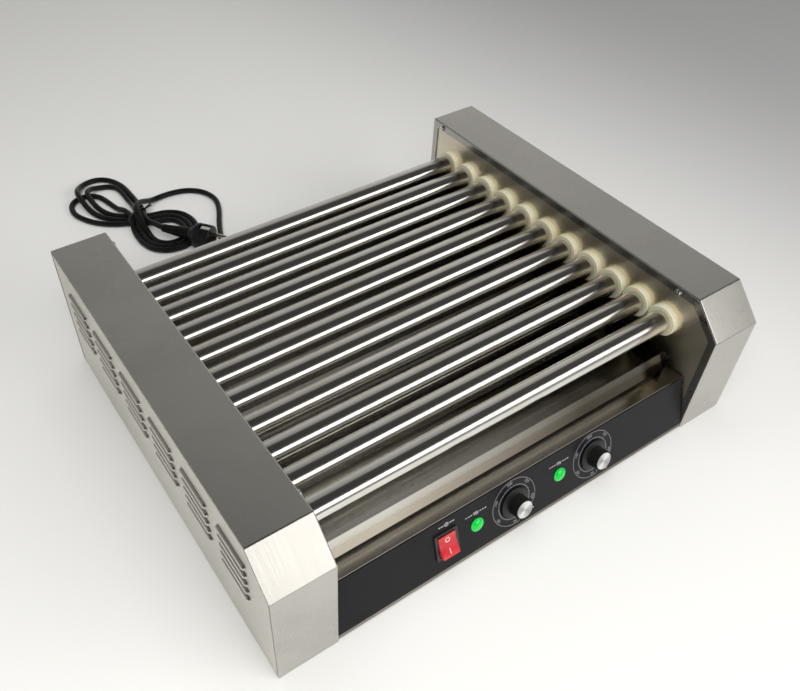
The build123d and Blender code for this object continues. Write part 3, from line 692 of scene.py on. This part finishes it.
def dial_print(name, x):
    """C-shaped band with rounded ends, figures inside it and ticks along its inner side."""
    middle = (BAND_OUTER + BAND_INNER) / 2
    half = (BAND_OUTER - BAND_INNER) / 2
    first = dial_direction(0) + BAND_OVERRUN
    last = dial_direction(1) - BAND_OVERRUN
    steps = 90
    outer = [polar(BAND_OUTER, first + (last - first) * i / steps) for i in range(steps + 1)]
    inner = [polar(BAND_INNER, last + (first - last) * i / steps) for i in range(steps + 1)]
    far_end = [polar(middle, last) + polar(half, last - 15 * i) for i in range(1, 12)]
    near_end = [polar(middle, first) + polar(half, first + 180 - 15 * i) for i in range(1, 12)]
    line = ribbon("band", outer + far_end + inner + near_end, BAND_LINE, INK_LOW, INK_HIGH, closed=True)
    parts = [(line, Matrix())]
    count = (len(FIGURES) - 1) * TICKS_BETWEEN
    for i in range(count + 1):
        direction = dial_direction(i / count)
        long = 0.0019 if i % TICKS_BETWEEN == 0 else 0.0011
        tick = [polar(BAND_INNER + 0.0003, direction), polar(BAND_INNER + 0.0003 + long, direction)]
        parts.append((ribbon("tick", tick, TICK_LINE, INK_LOW, INK_HIGH), Matrix()))
    for i, figure in enumerate(FIGURES):
        direction = dial_direction(i / (len(FIGURES) - 1))
        at = polar(FIGURE_R, direction)
        turn = Matrix.Rotation(math.radians(direction - 90), 4, "Z")
        place = Matrix.Translation((at.x, at.y, 0.00004)) @ turn
        parts.append((lettering(str(figure), FIGURE_SIZE), place))
    piece(name, joined(name, parts), "root", PRINT_GREY, (), on_panel(x, CONTROL_S), 0)


def switch_print():
    """A generic on-off sign with two short dashes each side of it."""
    ring = [polar(0.0019, 125 + 14.5 * i) for i in range(21)]
    parts = [ribbon("ring", ring, SIGN_LINE, INK_LOW, INK_HIGH)]
    parts.append(ribbon("bar", [Vector((0, 0.0004)), Vector((0, 0.0024))], SIGN_LINE, INK_LOW, INK_HIGH))
    for side in (-1, 1):
        for start in (0.0038, 0.0070):
            line = [Vector((side * start, 0)), Vector((side * (start + 0.0022), 0))]
            parts.append(ribbon("line", line, DASH_LINE, INK_LOW, INK_HIGH))
    return [(part, on_panel(SWITCH_X + 0.003, SWITCH_SIGN_S)) for part in parts]


def heat_print(x):
    """Three rising waves for heat, with three short dashes each side of them."""
    parts = []
    for shift in (-0.0020, 0, 0.0020):
        wave = []
        for i in range(9):
            wave.append(Vector((shift + 0.0005 * math.sin(i * math.pi / 4), -0.0018 + 0.00045 * i)))
        parts.append(ribbon("wave", wave, SIGN_LINE, INK_LOW, INK_HIGH))
    for side in (-1, 1):
        for i in range(3):
            start = 0.0046 + 0.0032 * i
            line = [Vector((side * start, 0)), Vector((side * (start + 0.0018), 0))]
            parts.append(ribbon("line", line, DASH_LINE, INK_LOW, INK_HIGH))
    return [(part, on_panel(x, HEAT_SIGN_S)) for part in parts]


def panel_print():
    parts = switch_print() + heat_print(LAMP_X[0]) + heat_print(LAMP_X[1])
    piece("panel_marks", joined("panel_marks", parts), "root", PRINT_WHITE, (), None, 0)


# ---- mains cord ------------------------------------------------------------------------------
# The cord's route in metres. Everything after the arc is the tied hank: a loop beside the plug, then a
# far loop, three times over, each passing through the tie. On all but the last far loop, the points of
# the round end lie within 0.1 mm of a circle, 30 degrees apart.
ARC = (
    (-0.06, 0.2418, 0.03), (-0.06, 0.2795, 0.03), (-0.056, 0.316, 0.012), (-0.045, 0.351, 0.004),
    (-0.031, 0.386, 0.004), (-0.014, 0.418, 0.004), (-0.005, 0.446, 0.004), (-0.013, 0.474, 0.004),
    (-0.034, 0.492, 0.004), (-0.064, 0.497, 0.004), (-0.089, 0.491, 0.006), (-0.102, 0.482, 0.015),
    (-0.112, 0.475, 0.021), (-0.12, 0.466, 0.024), (-0.125, 0.456, 0.024), (-0.126, 0.444, 0.018),
    (-0.125, 0.43, 0.009), (-0.1245, 0.418, 0.004),
)
NEAR_INNER = (
    (-0.1244, 0.406, 0.004), (-0.121, 0.3936, 0.004), (-0.112, 0.3844, 0.004), (-0.0995, 0.3811, 0.004),
    (-0.087, 0.3844, 0.004), (-0.0779, 0.3936, 0.004), (-0.0746, 0.406, 0.004), (-0.0754, 0.419, 0.004),
    (-0.0805, 0.431, 0.004), (-0.092, 0.438, 0.004), (-0.109, 0.442, 0.004), (-0.119, 0.447, 0.004),
    (-0.128, 0.452, 0.004), (-0.14, 0.459, 0.004),
)
FAR_LOW = (
    (-0.155, 0.466, 0.004), (-0.17, 0.477, 0.004), (-0.182, 0.49, 0.004), (-0.191, 0.506, 0.004),
    (-0.196, 0.52, 0.004), (-0.1963, 0.533, 0.004), (-0.193, 0.5454, 0.004), (-0.184, 0.5545, 0.004),
    (-0.1715, 0.5578, 0.004), (-0.159, 0.5545, 0.004), (-0.15, 0.5454, 0.004), (-0.1455, 0.532, 0.004),
    (-0.1425, 0.517, 0.004), (-0.139, 0.501, 0.004), (-0.135, 0.484, 0.011), (-0.133, 0.472, 0.012),
    (-0.1317, 0.461, 0.012),
)
NEAR_OUTER = (
    (-0.137, 0.447, 0.01), (-0.1403, 0.433, 0.005), (-0.1408, 0.419, 0.004), (-0.1408, 0.406, 0.004),
    (-0.1353, 0.3853, 0.004), (-0.1202, 0.3702, 0.004), (-0.0995, 0.3647, 0.004), (-0.0789, 0.3702, 0.004),
    (-0.0637, 0.3853, 0.004), (-0.0582, 0.406, 0.004), (-0.0586, 0.424, 0.004), (-0.0655, 0.442, 0.004),
    (-0.082, 0.455, 0.004), (-0.102, 0.4585, 0.004), (-0.111, 0.462, 0.004), (-0.12, 0.466, 0.004),
    (-0.129, 0.471, 0.004),
)
FAR_INNER = (
    (-0.14, 0.479, 0.004), (-0.151, 0.49, 0.004), (-0.159, 0.503, 0.005), (-0.164, 0.516, 0.008),
    (-0.1657, 0.529, 0.011), (-0.1663, 0.543, 0.013), (-0.163, 0.5554, 0.013), (-0.154, 0.5645, 0.009),
    (-0.1415, 0.5678, 0.0045), (-0.129, 0.5645, 0.004), (-0.12, 0.5554, 0.004), (-0.117, 0.543, 0.004),
    (-0.117, 0.529, 0.004), (-0.117, 0.515, 0.004), (-0.117, 0.498, 0.005), (-0.119, 0.481, 0.01),
    (-0.124, 0.459, 0.012),
)
NEAR_MIDDLE = (
    (-0.129, 0.446, 0.011), (-0.132, 0.433, 0.006), (-0.1325, 0.419, 0.004), (-0.1326, 0.406, 0.004),
    (-0.1282, 0.3895, 0.004), (-0.1161, 0.3773, 0.004), (-0.0995, 0.3729, 0.004), (-0.0829, 0.3773, 0.004),
    (-0.0708, 0.3895, 0.004), (-0.0664, 0.406, 0.004), (-0.067, 0.422, 0.004), (-0.074, 0.437, 0.004),
    (-0.0875, 0.447, 0.004), (-0.105, 0.4505, 0.004), (-0.115, 0.4545, 0.004), (-0.124, 0.459, 0.004),
    (-0.133, 0.464, 0.004),
)
FAR_OUTER = (
    (-0.146, 0.472, 0.004), (-0.158, 0.483, 0.004), (-0.168, 0.497, 0.004), (-0.174, 0.513, 0.005),
    (-0.177, 0.53, 0.009), (-0.178, 0.545, 0.013), (-0.177, 0.56, 0.013), (-0.172, 0.574, 0.009),
    (-0.162, 0.586, 0.005), (-0.148, 0.592, 0.004), (-0.133, 0.59, 0.004), (-0.121, 0.58, 0.004),
    (-0.113, 0.565, 0.004), (-0.109, 0.547, 0.004), (-0.1085, 0.526, 0.004), (-0.108, 0.506, 0.004),
    (-0.109, 0.488, 0.007), (-0.111, 0.478, 0.011), (-0.113, 0.468, 0.012), (-0.116, 0.457, 0.012),
    (-0.117, 0.446, 0.012), (-0.116, 0.436, 0.012),
)
LEAD = (
    (-0.1125, 0.424, 0.015), (-0.1084, 0.4032, 0.018), (-0.102, 0.395, 0.018),
)
ROUTE = ARC + NEAR_INNER + FAR_LOW + NEAR_OUTER + FAR_INNER + NEAR_MIDDLE + FAR_OUTER + LEAD


def cord_curve():
    curve = bpy.data.curves.new("mains_cord", "CURVE")
    curve.dimensions = "3D"
    spline = curve.splines.new("NURBS")
    spline.points.add(len(ROUTE) - 1)
    for point, place in zip(spline.points, ROUTE):
        point.co = (*place, 1)
    spline.order_u = 3
    spline.use_endpoint_u = True
    spline.resolution_u = 8
    curve.bevel_depth = CORD_R
    curve.bevel_resolution = 5
    curve.use_fill_caps = True
    curve.materials.append(MATERIALS["cord_rubber"])
    made = bpy.data.objects.new("mains_cord", curve)
    bpy.context.scene.collection.objects.link(made)
    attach(made, "root")
    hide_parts("cord", "cord_hank")
    return made


def strain_relief():
    """Ribbed rubber boot that tapers from the gland to the cord."""
    rings = [(0.0030, -0.0004), (0.0074, -0.0004), (0.0076, 0.0004)]
    ribs = 6
    for i in range(ribs):
        start = 0.0022 + i * 0.0029
        radius = 0.0075 - 0.0024 * i / (ribs - 1)
        rings += [(radius, start), (radius - 0.0001, start + 0.0016), (radius - 0.0011, start + 0.0019),
                  (radius - 0.0011, start + 0.0027)]
    rings += [(0.0048, BOOT_LENGTH - 0.0004), (0.0044, BOOT_LENGTH), (0.0030, BOOT_LENGTH)]
    place = axes(GLAND, Vector((1, 0, 0)), Vector((0, 0, -1)), Vector((0, 1, 0)))
    return piece("strain_relief", turned("strain_relief", rings, 64), "root", MATERIALS["cord_rubber"],
                 ["cord_boot"], place, 30)


def rounded_box_path(half_x, half_y, radius, steps=6):
    """Points round a box with rounded corners, in local XY."""
    path = []
    for corner, (sx, sy) in enumerate(((1, 1), (-1, 1), (-1, -1), (1, -1))):
        centre = Vector((sx * (half_x - radius), sy * (half_y - radius)))
        path += [centre + polar(radius, 90 * corner + 90 * i / steps) for i in range(steps + 1)]
    return path


TIE_HALF_WIDTH = 0.0162
TIE_HALF_HEIGHT = 0.0093
TIE_MIDDLE_Z = 0.0100
TWIST_LENGTH = 0.013


def twist_tie():
    """Plastic-covered wire band round the waist of the hank, its two ends twisted together."""
    path = rounded_box_path(TIE_HALF_WIDTH, TIE_HALF_HEIGHT, 0.0075)
    band = ribbon("band", path, 0.0009, -0.0019, 0.0019, closed=True)
    band = bevelled(band, 0.0003, 2)
    through = Vector((-TIE_ACROSS.y, TIE_ACROSS.x, 0))
    place = axes(TIE_PLACE + Vector((0, 0, TIE_MIDDLE_Z)), TIE_ACROSS, Vector((0, 0, 1)), -through)
    parts = [(band, Matrix())]
    turns = 2.5
    steps = 40
    for start in (0, 180):
        line = []
        for i in range(steps + 1):
            share = i / steps
            swing = polar(0.0011 + 0.0012 * max(0.0, share - 0.8) * 5, start + 360 * turns * share)
            line.append(Vector((TIE_HALF_WIDTH + 0.0004 + TWIST_LENGTH * share, 0.0035 + swing.x, swing.y)))
        parts.append((tube("wire", line, 0.0008), Matrix()))
    return piece("twist_tie", joined("twist_tie", parts), "root", MATERIALS["tie_plastic"],
                 ["cord_tie"], place, 40)


def tube(name, line, radius, sides=10):
    """A round tube along a list of points, with closed ends."""
    points = []
    up = Vector((0, 0, 1))
    for i, here in enumerate(line):
        before = line[max(i - 1, 0)]
        after = line[min(i + 1, len(line) - 1)]
        along = (after - before).normalized()
        side = along.cross(up).normalized()
        top = side.cross(along)
        for k in range(sides):
            swing = polar(radius, 360 * k / sides)
            points.append(here + side * swing.x + top * swing.y)
    faces = [tuple(reversed(range(sides))), tuple((len(line) - 1) * sides + k for k in range(sides))]
    for i in range(len(line) - 1):
        for k in range(sides):
            j = (k + 1) % sides
            faces.append((i * sides + k, i * sides + j, (i + 1) * sides + j, (i + 1) * sides + k))
    return mesh_of(name, points, faces)


PLUG_R = 0.0180
PLUG_LENGTH = 0.0750
KNURL_DEPTH = 0.0006
NOTCH_HALF_WIDTH = 0.0045


def notch(side):
    """What is cut away for one of the two notches in the plug's sides."""
    inner, outer = side * 0.0150, side * 0.0215
    half = NOTCH_HALF_WIDTH
    return plate("notch", [(inner, -half), (outer, -half), (outer, half), (inner, half)], 0.0590, 0.0770)


def plug():
    """Round earthed plug: ribbed boot, domed shoulder and knurled body with two notches."""
    rings = [(0.0036, 0.0), (0.0052, 0.0), (0.0056, 0.0008)]
    grooves = 11
    for i in range(grooves):
        start = 0.0022 + 0.0035 * i
        radius = 0.0056 + 0.0030 * i / (grooves - 1)
        rings += [(radius, start), (radius + 0.0002, start + 0.0020), (radius - 0.0010, start + 0.0023),
                  (radius - 0.0009, start + 0.0031)]
    rings += [(0.0090, 0.0420), (0.0096, 0.0440), (0.0125, 0.0480), (0.0160, 0.0512), (0.0176, 0.0535),
              (PLUG_R, 0.0550), (PLUG_R, 0.0570)]
    rings += [(PLUG_R, 0.0575, KNURL_DEPTH), (PLUG_R, 0.0710, KNURL_DEPTH), (PLUG_R, 0.0715)]
    rings += [(PLUG_R, 0.0735), (PLUG_R - 0.0004, 0.0747), (PLUG_R - 0.0012, PLUG_LENGTH)]
    body = turned("plug", rings, steps=180, ribs=45)
    up = Vector((0, 0, 1))
    place = axes(PLUG_PLACE, up, PLUG_AXIS.cross(up), PLUG_AXIS)
    made = piece("plug", body, "root", MATERIALS["cord_rubber"], ["plug_body"], place, 30)
    cutter = bpy.data.objects.new("cutter", joined("cutter", [(notch(side), Matrix()) for side in (-1, 1)]))
    bpy.context.scene.collection.objects.link(cutter)
    cutter.matrix_world = place
    cut = made.modifiers.new("notches", "BOOLEAN")
    cut.object = cutter
    cut.operation = "DIFFERENCE"
    cut.solver = "EXACT"
    bpy.context.view_layer.update()
    baked(made)
    bpy.data.objects.remove(cutter)
    return made


# ---- stage, light and camera -----------------------------------------------------------------
def seamless_floor():
    """Wide plain floor, darker towards positive X: painted shade."""
    half = 6.0
    corners = [(-half, -half, 0), (half, -half, 0), (half, half, 0), (-half, half, 0)]
    mesh = mesh_of("floor", corners, [(0, 1, 2, 3)])
    made = Shader("floor", Roughness=0.55, Specular_IOR_Level=0.3)
    split = made.node("ShaderNodeSeparateXYZ")
    made.link(made.place, split.inputs["Vector"])
    away = made.node("ShaderNodeMapRange", interpolation_type="SMOOTHSTEP")
    away.inputs["From Min"].default_value = 0.15
    away.inputs["From Max"].default_value = 1.1
    made.link(split.outputs["X"], away.inputs["Value"])
    # Painted shade: the floor's tone falls towards positive X.
    made.colour(made.mix(away.outputs["Result"], (0.83, 0.83, 0.81), (0.45, 0.45, 0.455)))
    mesh.materials.append(made.material)
    floor = bpy.data.objects.new("floor", mesh)
    bpy.context.scene.collection.objects.link(floor)


def softbox(name, place, target, size, power, colour, glossy=True):
    light = bpy.data.lights.new(name, "AREA")
    light.shape = "RECTANGLE"
    light.size, light.size_y = size
    light.energy = power
    light.color = colour
    made = bpy.data.objects.new(name, light)
    bpy.context.scene.collection.objects.link(made)
    made.location = place
    made.rotation_euler = (Vector(target) - Vector(place)).to_track_quat("-Z", "Y").to_euler()
    made.visible_glossy = glossy
    made.visible_camera = False
    return made


# Brightness of the surroundings by the direction seen from the rollers, in degrees from straight up:
# negative towards the rear, positive towards the operator.
ROOM_TONES = (
    (-180, 0.35),
    (-95, 0.55),
    (-75, 0.55),
    (-54, 0.47),
    (-31, 0.33),
    (-24, 0.30),
    (-18, 0.06),
    (28, 0.045),
    (52, 0.10),
    (80, 0.30),
    (100, 0.35),
    (180, 0.35),
)


def studio_room():
    """Surroundings: pale behind, dark overhead, grey in front and below, brighter towards positive X."""
    world = bpy.data.worlds.new("room")
    bpy.context.scene.world = world
    world.use_nodes = True
    tree = world.node_tree
    background = tree.nodes["Background"]
    place = tree.nodes.new("ShaderNodeTexCoord")
    split = tree.nodes.new("ShaderNodeSeparateXYZ")
    tree.links.new(place.outputs["Generated"], split.inputs["Vector"])
    flip = tree.nodes.new("ShaderNodeMath")
    flip.operation = "MULTIPLY"
    flip.inputs[1].default_value = -1
    tree.links.new(split.outputs["Y"], flip.inputs[0])
    angle = tree.nodes.new("ShaderNodeMath")
    angle.operation = "ARCTAN2"
    tree.links.new(flip.outputs["Value"], angle.inputs[0])
    tree.links.new(split.outputs["Z"], angle.inputs[1])
    span = tree.nodes.new("ShaderNodeMapRange")
    span.inputs["From Min"].default_value = -math.pi
    span.inputs["From Max"].default_value = math.pi
    tree.links.new(angle.outputs["Value"], span.inputs["Value"])
    ramp = tree.nodes.new("ShaderNodeValToRGB")
    elements = ramp.color_ramp.elements
    while len(elements) < len(ROOM_TONES):
        elements.new(0.5)
    for element, (degrees, tone) in zip(elements, ROOM_TONES):
        element.position = (degrees + 180) / 360
        element.color = (tone, tone * 0.985, tone * 0.955, 1)
    tree.links.new(span.outputs["Result"], ramp.inputs["Fac"])
    tree.links.new(ramp.outputs["Color"], background.inputs["Color"])
    brighter = tree.nodes.new("ShaderNodeMapRange")
    brighter.inputs["From Min"].default_value = 0.0
    brighter.inputs["From Max"].default_value = 0.7
    brighter.inputs["To Min"].default_value = 0.65
    brighter.inputs["To Max"].default_value = 1.35
    tree.links.new(split.outputs["X"], brighter.inputs["Value"])
    tree.links.new(brighter.outputs["Result"], background.inputs["Strength"])


def lights():
    """A window that shows in the steel, and three fills that don't."""
    window = ((0.80, -1.82, 1.15), (0.0, 0, 0.1))   # where it is, and where it points
    softbox("window", *window, (1.9, 0.85), 13.5, (1.0, 0.99, 0.97))
    softbox("window_fill", *window, (1.8, 1.2), 17, (1.0, 0.99, 0.98), glossy=False)
    softbox("front_fill", (-0.9, -1.1, 1.7), (-0.45, -0.5, 0), (1.5, 1.5), 32, (1.0, 0.99, 0.97),
            glossy=False)
    softbox("ceiling_fill", (-0.2, 0.3, 2.6), (0.0, 0.3, 0), (2.4, 2.4), 22, (1.0, 1.0, 1.0), glossy=False)


CAMERA_PLACE = (-0.4076, -0.5178, 0.7024)
CAMERA_TURN = (44.956, -0.254, -33.493)
CAMERA_LENS = 36.61


def photo_camera():
    data = bpy.data.cameras.new("camera")
    data.lens = CAMERA_LENS
    data.sensor_width = 36.0
    data.shift_x = 0.0635
    data.shift_y = 0.0109
    data.clip_start = 0.01
    made = bpy.data.objects.new("camera", data)
    made.location = CAMERA_PLACE
    made.rotation_euler = Euler([math.radians(angle) for angle in CAMERA_TURN])
    bpy.context.scene.collection.objects.link(made)
    bpy.context.scene.camera = made


# ---- build -----------------------------------------------------------------------------------
def main():
    photo_camera()
    finish_cad_nodes()
    round_folds()
    cord = cord_curve()
    relief = strain_relief()
    tie = twist_tie()
    plug_piece = plug()
    for name, x, pointing in (("left_knob", DIAL_X[0], -17), ("right_knob", DIAL_X[1], -72)):
        knob(f"{name}_grip", x, name, pointing)
        dial_print(f"{name}_dial", x)
    lamp_lenses()
    rocker()
    panel_print()
    seamless_floor()
    studio_room()
    lights()
    bpy.context.scene.view_settings.view_transform = "Standard"


main()
